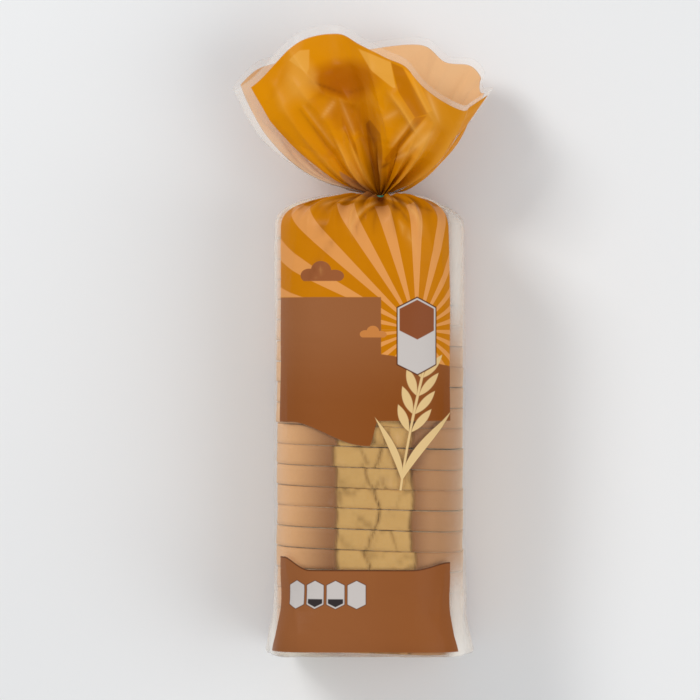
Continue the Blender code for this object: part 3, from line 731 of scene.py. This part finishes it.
def film_mesh(name, around_count, on_tail):
    """The body's film or the tail's as an open sheet, with its print coordinates as a UV map, and six
    attributes: stroke, a line of painted highlight or painted shade; fold, how far a spot stands out or
    lies in; the facet's shade, how light or dark its facet is painted; valley, how far it is from a pleat's
    crest; gather, how near it is to the tie; and slack, how free of the bread."""
    rings, ways, film_x, stages, round_share = film_rings(around_count)
    forward = np.gradient(rings, axis=0)
    around = np.roll(rings, -1, axis=1) - np.roll(rings, 1, axis=1)
    outward = np.cross(forward, around)
    outward /= np.maximum(np.linalg.norm(outward, axis=2), 1e-9)[..., None]
    middle_row = END_RINGS + 40
    from_middle = rings[middle_row] - [0.0, rings[middle_row, 0, 1], WAIST_HEIGHT]
    if (outward[middle_row] * from_middle).sum() < 0.0:
        outward = -outward
    lift, fold, valley, facet_shade = film_relief(rings, ways, film_x, stages, round_share, 2.0 * abs(film_x[0]))
    points = rings + outward * lift[..., None]
    points[..., 2] = np.maximum(points[..., 2], BAG_BASE)
    half, rim_way = abs(film_x[0]), float(ways[-1].mean())
    neck_way = ways[stages <= 1.0].max()
    neck_row = int(np.nonzero(stages <= 1.0)[0].max())
    part = slice(neck_row, None) if on_tail else slice(0, neck_row + 1)
    rings, points, ways, stages = rings[part], points[part], ways[part], stages[part]
    fold, valley, facet_shade = fold[part], valley[part], facet_shade[part]
    mesh = mesh_from_rings(name, points, ends=False)
    shape = bmesh.new()
    shape.from_mesh(mesh)
    layer = shape.loops.layers.uv.new("film")
    tip = None
    if not on_tail:
        first_ring = list(shape.verts)[:around_count]
        tip = shape.verts.new(points[0].mean(axis=0))
        for i in range(around_count):
            shape.faces.new((tip, first_ring[(i + 1) % around_count], first_ring[i]))
    shape.verts.index_update()
    for patch in shape.faces:
        columns = [v.index % around_count for v in patch.verts if v != tip]
        wraps = max(columns) - min(columns) > 1
        for loop in patch.loops:
            if loop.vert == tip:
                loop[layer].uv = (film_x[columns[0]], BAG_END_Y - END_FOLD)
                continue
            row, column = divmod(loop.vert.index, around_count)
            x = -half if wraps and column == 0 else film_x[column]
            loop[layer].uv = (x, ways[row, column])
    bmesh.ops.recalc_face_normals(shape, faces=shape.faces)
    shape.to_mesh(mesh)
    shape.free()
    mesh.shade_smooth()
    stage = stages[:, None] + 0.0 * ways
    gather = np.exp(-np.abs(ways - neck_way) / (12.0 * MM))
    from_neck = np.hypot((rings[..., 0] - NECK_X) / 26.0, (NECK_Y0 - rings[..., 1]) / 6.0) / MM
    gather = np.maximum(gather, np.exp(-from_neck) * (stage <= 1.0))
    side = smooth_step(0.80, 1.0, np.abs(rings[..., 0]) / BAG_HALF_WIDTH)
    at_end = (1.0 - smooth_step(0.0, EAR_LENGTH, rings[..., 1] - BAG_END_Y)) * side
    slack = at_end + smooth_step(0.0, 0.2, stage) * (0.5 + 0.5 * side) * (stage > 0.0)
    lit, dark = np.zeros(stage.shape), np.zeros(stage.shape)
    upper = smooth_step(*UPPER_FROM_TO, points[..., 2])
    for *ends, width, shade in STROKES:
        from_x, from_y, to_x, to_y = (value * MM for value in ends)
        near = near_line(points[..., 0], points[..., 1], (from_x, from_y), (to_x, to_y), width * MM)
        chosen = lit if shade > 0.0 else dark
        np.maximum(chosen, near * abs(shade) * upper, out=chosen)
    lines = (lit - dark) * (np.abs(film_x) < half / 2.0)[None, :]
    slack = slack * np.where(stage > 1.0, 0.4, 1.0)
    named = {"fold": fold / (4.0 * MM), "facet_shade": facet_shade, "valley": valley, "gather": gather, "slack": slack,
             "stroke": lines}
    for kind, values in named.items():
        shares = np.clip(values, -1.0, 1.0).ravel()
        if tip is not None:
            shares = np.append(shares, 0.0)
        mesh.attributes.new(kind, "FLOAT", "POINT").data.foreach_set("value", shares.astype(np.float32))
    return mesh, rim_way, 2.0 * half


# The print: its places in metres across and along the film, and its colours
PANEL_LEFT, PANEL_RIGHT, BACK_HALF_WIDTH = -57.0 * MM, 52.0 * MM, 56.0 * MM
TAIL_WIDER, TAIL_BACK_WIDER = 8.0 * MM, 45.0 * MM
PANEL_FOOT, HEM = -129.4 * MM, 4.6 * MM
WINDOW_TOP_LEFT, WINDOW_TOP_RIGHT, WINDOW_FOOT = 0.8 * MM, 1.4 * MM, -82.8 * MM
LABEL_TOP, LABEL_RIGHT, FIELD_TOP = 71.4 * MM, 8.6 * MM, 39.2 * MM
SUN = (28.9 * MM, 52.8 * MM)
RAY_PITCH, RAY_SHARE, RAY_TURN, RAY_REACH = 15.5, 0.42, 0.70, 126.0 * MM
WHEAT_FOOT, WHEAT_TILT, WHEAT_BEND = (20.0 * MM, -34.0 * MM), math.radians(8.0), 0.9
GRAINS_FROM, GRAINS_TO = 23.2 * MM, 65.2 * MM
GRAIN_PITCH, GRAIN_OUT, GRAIN_ANGLE = 10.5 * MM, 5.2 * MM, math.radians(32.0)
GRAIN_HALF_LENGTH, GRAIN_HALF_WIDTH = 8.6 * MM, 2.4 * MM
BADGE = (29.2 * MM, 49.4 * MM)
MARKS_X, MARKS_PITCH, MARKS_Y = -40.5 * MM, 11.8 * MM, -96.9 * MM
ORANGE, ORANGE_DEEP = srgb(228, 146, 0), srgb(184, 103, 0)
# colours of the painted shade and painted highlight on the film's folds, facets and neck
FOLD_SHADE, FOLD_HALF_SHADE, FOLD_HIGHLIGHT = srgb(92, 38, 6), srgb(168, 88, 2), srgb(240, 174, 76)
BROWN, BROWN_LOW, DARK_BROWN = srgb(156, 98, 58), srgb(138, 74, 24), srgb(92, 46, 20)
PEACH = srgb(228, 154, 82)
CLOUDS = (
    ((-25.5 * MM, 80.5 * MM, 13.0 * MM), srgb(156, 92, 52)),
    ((4.0 * MM, 48.6 * MM, 7.6 * MM), srgb(204, 130, 66)),
)
CREAM, CREAM_WHITE = srgb(228, 194, 136), srgb(204, 196, 190)
BADGE_BROWN, MARK_DARK = srgb(140, 78, 44), srgb(54, 48, 48)


def print_layout(wire, rim_way, girth):
    """The printed fields and simple shapes on the film, as a list of mask and colour, from the
    film's own coordinates, then where the fields are inked, and where the ear of wheat is."""
    soft = 0.35 * MM
    x, y, _ = wire.add("ShaderNodeUVMap", uv_map="film").axes()
    half = girth / 2.0
    back_x = half - abs(x)
    front = (half / 2.0 - abs(x)).step(-soft, soft)

    def over(value):
        return value.step(-soft, soft)

    # the printed panel is narrower than the bag: its edges draw in before the shut end and
    # flare at it, and the tail shows more of both sides
    flare = (-y).step(119.0 * MM, 131.0 * MM) * (5.5 * MM) - (y + 106.0 * MM).hump(13.0 * MM) * (2.6 * MM)
    on_tail = y.step(140.0 * MM, 215.0 * MM)
    panel = over(PANEL_RIGHT - x + flare * 0.55) * over(x - PANEL_LEFT + flare + on_tail * TAIL_WIDER)
    panel = panel.most(over(BACK_HALF_WIDTH + y.step(128.0 * MM, 165.0 * MM) * TAIL_BACK_WIDER - back_x))
    panel = panel * over(rim_way - HEM - y) * over(y - PANEL_FOOT)
    panel_x = x * front + back_x * (1.0 - front)
    # the window's upper edge waves on the left and is level on the right
    wave = WINDOW_TOP_LEFT - panel_x.step(-44.0 * MM, 0.0) * (13.5 * MM)
    level = panel_x.step(2.0 * MM, 7.0 * MM)
    window_top = wave * (1.0 - level) + WINDOW_TOP_RIGHT * level
    dip_left = (-panel_x).step(32.0 * MM, 52.0 * MM) * (7.0 * MM)
    dip_right = panel_x.step(26.0 * MM, 50.0 * MM) * (4.0 * MM)
    window_foot = WINDOW_FOOT + dip_left + dip_right
    window = over(window_top - y) * over(y - window_foot)
    ink = panel * (1.0 - window)

    block = over(LABEL_TOP - y) * over(LABEL_RIGHT - panel_x)
    field = over(FIELD_TOP - (panel_x - LABEL_RIGHT) * 0.16 - y) * over(panel_x - LABEL_RIGHT + 2.0 * MM)
    brown = block.most(field)
    line = over(y - window_foot + 0.7 * MM) * over(window_foot - y + 0.2 * MM)
    orange_zone = (1.0 - brown) * over(y - 30.0 * MM)

    # sun rays that fan out from behind the badge
    sun_x, sun_y = SUN
    angle = y.math("ARCTAN2", y - sun_y, x - sun_x) / math.radians(RAY_PITCH) + RAY_TURN
    turn = angle.math("FRACT", angle)
    rays = (RAY_SHARE / 2.0 - abs(turn - 0.5)).step(-0.012, 0.012)
    rays = rays * over(RAY_REACH - y) * orange_zone * front

    def disc(centre_x, centre_y, radius_x, radius_y):
        gap = (((x - centre_x) / radius_x) ** 2.0 + ((y - centre_y) / radius_y) ** 2.0) ** 0.5
        return (1.0 - gap).step(-0.03, 0.03)

    def cloud(centre_x, foot, size):
        puffs = disc(centre_x - 0.55 * size, foot + 0.24 * size, 0.42 * size, 0.30 * size)
        puffs = puffs.most(disc(centre_x, foot + 0.45 * size, 0.46 * size, 0.42 * size))
        puffs = puffs.most(disc(centre_x + 0.6 * size, foot + 0.22 * size, 0.42 * size, 0.27 * size))
        puffs = puffs.most(over(0.6 * size - abs(x - centre_x)) * over(foot + 0.3 * size - y))
        return puffs * over(y - foot) * front

    def hexagon(centre_x, centre_y, half_width, half_height, grow=0.0):
        dx, dy = abs(x - centre_x), abs(y - centre_y)
        return over(half_width + grow - dx) * over(half_height + grow * 1.15 - dx * 0.5 - dy) * front

    low = (-y).step(-62.0 * MM, -4.0 * MM) * 0.7 - (-y).step(40.0 * MM, 70.0 * MM) * 0.45
    low = low + panel_x.step(-30.0 * MM, 45.0 * MM) * 0.3
    shapes = [(brown, BROWN), (brown * low.clamped(), BROWN_LOW), (line, DARK_BROWN), (rays, PEACH)]
    shapes += [(cloud(*spot), paint) for spot, paint in CLOUDS]

    # an ear of wheat: pairs of grains up a bent stalk, and two long leaves at its foot
    ear_x, ear_y = WHEAT_FOOT
    cos, sin = math.cos(WHEAT_TILT), math.sin(WHEAT_TILT)
    up = (y - ear_y) * cos + (x - ear_x) * sin
    out = (x - ear_x) * cos - (y - ear_y) * sin - (up ** 2.0) * WHEAT_BEND
    aside = abs(out)
    grains = None
    cell = (up / GRAIN_PITCH).math("FRACT", up / GRAIN_PITCH) * GRAIN_PITCH
    cos_g, sin_g = math.cos(GRAIN_ANGLE), math.sin(GRAIN_ANGLE)
    for shift in (0.0, GRAIN_PITCH, -GRAIN_PITCH):
        a, b = cell + shift - GRAIN_PITCH / 2.0, aside - GRAIN_OUT
        lengthwise = a * cos_g + b * sin_g
        crosswise = abs(b * cos_g - a * sin_g)
        grain = over(GRAIN_HALF_WIDTH * (1.0 - (lengthwise / GRAIN_HALF_LENGTH) ** 2.0) - crosswise)
        grains = grain if grains is None else grains.most(grain)
    from_stalk = up - aside * 1.6
    grains = grains * over(from_stalk - GRAINS_FROM) * over(GRAINS_TO - from_stalk)
    tip_up = up - 71.0 * MM
    tip = over((2.3 * MM) * (1.0 - ((tip_up - 5.0 * MM) / (8.0 * MM)) ** 2.0) - aside)
    stalk = over(0.75 * MM - aside) * over(up + 4.0 * MM) * over(72.0 * MM - up)
    grains = grains * over(13.0 * MM - aside)

    def leaf(reach, bow, width, turn_side):
        """A long leaf that leaves the stalk's foot and bends out to one side."""
        share = (up / reach).clamped()
        spine = (share ** 1.6) * bow * turn_side
        body = over(share * (1.0 - share) * 4.0 * width - abs(out - spine) - soft)
        return body * over(up - 0.6 * MM) * over(reach - 0.6 * MM - up)

    wheat = grains.most(tip).most(stalk)
    wheat = wheat.most(leaf(46.0 * MM, 26.0 * MM, 3.4 * MM, 1.0))
    wheat = wheat.most(leaf(36.0 * MM, 22.0 * MM, 2.8 * MM, -1.0))
    wheat = wheat * front * over(y - ear_y + 8.0 * MM) * over(32.0 * MM - abs(x - ear_x - 6.0 * MM))
    shapes.append((wheat, CREAM))

    def framed(*hexagon_size, rim):
        """A pale hexagon with a dark rim round it."""
        shapes.append((hexagon(*hexagon_size, rim), DARK_BROWN))
        shapes.append((hexagon(*hexagon_size), CREAM_WHITE))

    badge_x, badge_y = BADGE
    framed(badge_x, badge_y, 11.2 * MM, 21.5 * MM, rim=0.7 * MM)
    badge_top = over(y - badge_y + abs(x - badge_x) * -0.5 + 2.0 * MM)
    shapes.append((hexagon(badge_x, badge_y, 10.2 * MM, 20.5 * MM) * badge_top, BADGE_BROWN))
    for number in range(4):
        centre = MARKS_X + number * MARKS_PITCH
        framed(centre, MARKS_Y, 5.0 * MM, 7.9 * MM, rim=0.35 * MM)
        if number in (1, 2):
            lower = over(MARKS_Y - 2.4 * MM - y)
            shapes.append((hexagon(centre, MARKS_Y, 4.3 * MM, 7.0 * MM) * lower, MARK_DARK))
    return shapes, ink, wheat * panel


# The hollow in the front of the tail, painted dark as shade: its middle, and how far the painted shade
# reaches across and along
HOLLOW, HOLLOW_REACH = (-13.5 * MM, 196.0 * MM), (16.0 * MM, 9.0 * MM)
# Facets where the front of the tail lies flat between crisp folds, painted in light or shade: corners in
# millimetres across and along the bag, then the colour of the facet's painted light or shade, and how much
# of it shows
FACETS = (
    (((-5.3, 213.1), (13.6, 204.9), (16.5, 190.2), (14.8, 190.2), (2.3, 200.4)),
     srgb(238, 170, 68), 0.8),
    (((13.8, 204.5), (20.5, 201.4), (34.3, 175.4), (27.4, 173.4), (18.1, 187.7), (15.6, 197.0)),
     srgb(186, 106, 0), 0.75),
    (((21.1, 201.4), (29.1, 194.6), (37.3, 177.2), (34.3, 176.0)),
     srgb(240, 156, 26), 0.8),
    (((-45.6, 207.5), (-39.5, 212.9), (-33.8, 213.4), (-33.8, 202.5), (-34.9, 199.4)),
     srgb(236, 170, 70), 0.65),
    (((-15.5, 186.1), (-10.9, 180.9), (-6.9, 158.6), (4.4, 135.2), (-1.7, 141.2), (-9.9, 158.6),
      (-15.0, 166.8)),
     srgb(184, 104, 0), 0.6),
    (((-1.2, 170.6), (1.1, 172.9), (7.4, 164.7), (8.5, 154.6), (6.6, 132.1), (4.6, 132.1),
      (1.1, 148.9)),
     srgb(128, 62, 4), 0.5),
    (((27.3, 173.4), (34.0, 174.4), (18.7, 156.5), (10.5, 148.0), (9.5, 150.4)),
     srgb(184, 102, 0), 0.65),
    (((-18.1, 149.5), (-12.0, 144.9), (-0.6, 134.6), (7.4, 130.0), (6.4, 128.0), (-1.7, 128.9),
      (-9.9, 134.0), (-16.0, 140.9)),
     srgb(156, 112, 84), 0.6),
)


def facet(x, y, corners):
    """The inside of a convex patch whose corners go round it clockwise."""
    inside = 1.0
    for (ax, ay), (bx, by) in zip(corners, corners[1:] + corners[:1]):
        along, across = by - ay, bx - ax
        gap = ((x - ax * MM) * along - (y - ay * MM) * across) / math.hypot(along, across)
        inside = gap.step(-0.5 * MM, 0.5 * MM) * inside
    return inside


def film_material(name, inside, rim_way, girth):
    """Clear film with ink on its outside. Seen from inside, the ink is paler: partly a paler backing,
    partly painted light standing for light through the thin film.
    """
    material, clear, wire = new_material(
        name, Base_Color=(1.0, 0.94, 0.85, 1.0), Roughness=0.12, IOR=1.5, Specular_IOR_Level=0.4)
    tree = material.node_tree
    printed = tree.nodes.new("ShaderNodeBsdfPrincipled")
    printed.inputs["Roughness"].default_value = 0.34
    printed.inputs["Specular IOR Level"].default_value = 0.06
    shapes, ink, wheat = print_layout(wire, rim_way, girth)
    if inside:
        shapes = shapes[:2]
    else:
        ink = ink.most(wheat)
    place = wire.add("ShaderNodeTexCoord", output=3)
    x, y, z = place.axes()
    on_body = (-y).step(-134.0 * MM, -122.0 * MM)
    fold, facet_shade, valley, gather, slack, lines = wire.read(
        "fold", "facet_shade", "valley", "gather", "slack", "stroke")
    mottle = place.noise(30.0 * MM, detail=3.0, seed=4.0).share()
    colour = (mottle * 0.4 + on_body * 0.4).clamped().between(ORANGE, ORANGE_DEEP)
    for mask, paint in shapes:
        colour = colour.mix(mask, paint)
    sunk = (-fold).step(0.05, 0.9)
    proud = fold.step(0.15, 1.0)
    # painted shade where the film sinks into folds and on darker facets, and painted highlight on lighter
    # facets
    colour = colour.mix((sunk * 0.4 + (-facet_shade).step(0.0, 1.0) * 0.65).clamped(), FOLD_HALF_SHADE)
    colour = colour.mix(facet_shade.step(0.0, 1.0) * 0.6, FOLD_HIGHLIGHT)
    if not inside:
        upper = z.step(*UPPER_FROM_TO)
        hollow = ((x - HOLLOW[0]) / HOLLOW_REACH[0]) ** 2.0 + ((y - HOLLOW[1]) / HOLLOW_REACH[1]) ** 2.0
        # painted shade in the hollow of the tail's front
        colour = colour.mix((1.0 - hollow).step(-1.6, 0.9) * upper * 0.8, srgb(176, 92, 0))
        # painted light and shade of the flat facets of the tail's front
        for corners, paint, strength in FACETS:
            colour = colour.mix(facet(x, y, corners) * upper * strength, paint)
        # painted shade and painted highlight along the strokes of the folds
        colour = colour.mix((-lines).clamped() * 0.85, srgb(112, 52, 4))
        colour = colour.mix(lines.clamped() * 0.75, srgb(248, 190, 110))
    # painted shade at the neck, deepest in the valleys between pleats and where the film sinks
    colour = colour.mix((gather * (0.34 + valley * valley + sunk * 0.5)).clamped(), FOLD_SHADE)
    # painted highlight on raised folds away from the neck
    colour = colour.mix(proud * 0.45 * (1.0 - gather), FOLD_HIGHLIGHT)
    if inside:
        # painted light: the inside is paled partly for the ink's backing, partly for light shining through
        # the film
        colour = colour.mix(0.62, srgb(252, 216, 172))
    colour.into(printed.inputs["Base Color"])
    edge_on = wire.add("ShaderNodeLayerWeight", {"Blend": 0.4}, output=1)
    # The clear film's whitish haze, stronger where seen edge-on and where it hangs free; its streaks and
    # side strips are painted sheen and glare, and raised folds get a painted highlight.
    streaks = place.scaled(1.0, 0.35, 1.0).noise(6.0 * MM, detail=3.0, seed=12.0).step(0.25, 0.75)
    loose = y.step(28.0 * MM, 78.0 * MM) - y.step(124.0 * MM, 134.0 * MM) * 0.75
    loose = loose + (-y).step(70.0 * MM, 108.0 * MM)
    strip = (x.step(43.0 * MM, 51.0 * MM) + (-x).step(49.0 * MM, 55.0 * MM)) * z.step(52.0 * MM, 92.0 * MM)
    haze = 0.012 + (edge_on ** 2.0) * (0.10 + loose * 0.4) + strip * loose * 0.34
    haze = haze + streaks * (0.03 + slack * 0.22) + proud * 0.10 + slack * 0.24
    haze.clamped().into(clear.inputs["Alpha"])
    printed.inputs["Alpha"].default_value = 0.985
    wrinkles = place.noise(5.0 * MM, detail=3.0, seed=9.0) * 0.6
    wrinkles = wrinkles + place.noise(1.6 * MM, detail=2.0, seed=10.0) * 0.15
    bump = wrinkles.bump(0.25, 0.5 * MM)
    bump.into(printed.inputs["Normal"])
    bump.into(clear.inputs["Normal"])
    both = tree.nodes.new("ShaderNodeMixShader")
    ink.into(both.inputs[0])
    tree.links.new(clear.outputs[0], both.inputs[1])
    tree.links.new(printed.outputs[0], both.inputs[2])
    tree.links.new(both.outputs[0], tree.nodes["Material Output"].inputs["Surface"])
    return material


film_finishes = []
for name, around_count, on_tail in (("bag_film", BAG_AROUND, False), ("tail_film", TAIL_AROUND, True)):
    film_sheet, rim_way, girth = film_mesh(name, around_count, on_tail)
    film = new_object(name, film_sheet)
    if not film_finishes:
        film_finishes = [film_material("printed_film", False, rim_way, girth),
                         film_material("film_inside", True, rim_way, girth)]
    for finish in film_finishes:
        film_sheet.materials.append(finish)
    walls = film.modifiers.new("walls", "SOLIDIFY")
    walls.thickness = FILM_THICKNESS
    walls.offset = -1.0
    walls.material_offset = 1
    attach(film, "root")
    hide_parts("bread_bag")


# The twist tie
# A flat strip of green plastic with a steel wire down its middle, wound once round the neck and
# its two ends twisted together below it.
TIE_RADIUS, TIE_WIDTH, TIE_EDGE = 3.75 * MM, 1.9 * MM, 0.32 * MM
TIE_WIRE = 0.36 * MM
TIE_Y = 129.3 * MM
TIE_LENGTH, TIE_TURNS, TIE_OFFSET = 17.0 * MM, 3.0, 0.75 * MM
TIE_TILT = math.radians(17.0)


def strip_section():
    """The strip's section across its width: thin edges, and a round rib over the wire."""
    half = TIE_WIDTH / 2.0
    upper = [(TIE_WIRE * math.cos(a) * 1.3, TIE_EDGE / 2.0 + TIE_WIRE * 0.6 * math.sin(a))
             for a in np.linspace(0.0, math.pi, 7)]
    upper = [(half, 0.0), (half - 0.1 * MM, TIE_EDGE / 2.0)] + upper + [(-half + 0.1 * MM, TIE_EDGE / 2.0)]
    return upper + [(-w, -t) for w, t in upper]


def strip_mesh():
    """The strip swept along its way: up one twisted end, once round the neck, down the other."""
    down = Vector((0.0, math.sin(TIE_TILT), -math.cos(TIE_TILT)))
    along_y = Vector((0.0, math.cos(TIE_TILT), math.sin(TIE_TILT)))
    sideways = Vector((1.0, 0.0, 0.0))
    hub = Vector((NECK_X, TIE_Y, NECK_Z))
    knot = hub + Vector((0.0, 0.0, -TIE_RADIUS))

    def end(hand):
        """Places along one twisted end from the knot down: the place, its flat and its width."""
        places = []
        for step in range(61):
            share = step / 60.0
            turn = math.tau * TIE_TURNS * share
            flat = (sideways * math.cos(turn) + along_y * math.sin(turn)) * hand
            centre = knot + down * (TIE_LENGTH * share + 0.4 * MM) + flat * TIE_OFFSET * 0.55
            wide = (sideways * -math.sin(turn) + along_y * math.cos(turn)) * hand
            places.append((centre, flat, wide))
        return places

    loop = []
    for step in range(97):
        turn = -math.pi / 2.0 + math.radians(9.0) + (math.tau - math.radians(18.0)) * step / 96.0
        flat = Vector((math.cos(turn), 0.0, math.sin(turn)))
        loop.append((hub + flat * TIE_RADIUS, flat, Vector((0.0, 1.0, 0.0))))
    way = list(reversed(end(1.0))) + loop + end(-1.0)
    rings = [[centre + wide * w + flat * t for w, t in strip_section()] for centre, flat, wide in way]
    mesh = mesh_from_rings("tie", [[tuple(p) for p in ring] for ring in rings])
    face_outwards(mesh)
    mesh.shade_smooth()
    mesh.set_sharp_from_angle(angle=math.radians(50))
    return mesh


def tie_material():
    """Teal-green plastic, a little worn."""
    material, shader, wire = new_material("tie_plastic", Specular_IOR_Level=0.5)
    place = wire.add("ShaderNodeTexCoord", output=3)
    wear = place.noise(2.0 * MM, detail=3.0, seed=21.0).share()
    colour = (wear * 0.5).between(srgb(20, 118, 92), srgb(66, 158, 128))
    bump = place.noise(0.6 * MM, detail=2.0, seed=22.0).bump(0.3, 0.1 * MM)
    finish_surface(shader, colour, 0.34 + wear * 0.2, bump)
    return material


tie = new_object("coated_tie", strip_mesh())
tie.data.materials.append(tie_material())
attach(tie, "root")
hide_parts("twist_tie")


# The floor and the lights
# A plain pale floor under the loaf, a soft light from the upper left and a larger, weaker one
# from the lower right, under an even pale sky.
bpy.ops.mesh.primitive_plane_add(size=6.0, location=(0.0, 0.0, -0.3 * MM))
floor = bpy.context.object
floor.name = "floor"
floor_material, _, _ = new_material("pale_floor", Base_Color=(0.86, 0.86, 0.85, 1.0), Roughness=0.7)
floor.data.materials.append(floor_material)

for light_name, place, size, power in (
    ("key", (-0.95, 0.85, 1.30), 0.55, 12.5), ("fill", (0.9, -0.3, 1.1), 1.1, 8.0),
):
    lamp = bpy.data.lights.new(light_name, "AREA")
    lamp.size = size
    lamp.energy = power
    light = new_object(light_name, lamp)
    light.location = place
    light.rotation_euler = (VIEW_TARGET - Vector(place)).to_track_quat("-Z", "Y").to_euler()

world = bpy.data.worlds.new("studio")
world.use_nodes = True
world.node_tree.nodes["Background"].inputs["Color"].default_value = (0.92, 0.95, 1.0, 1.0)
world.node_tree.nodes["Background"].inputs["Strength"].default_value = 0.48
bpy.context.scene.world = world
bpy.context.scene.view_settings.view_transform = "Standard"
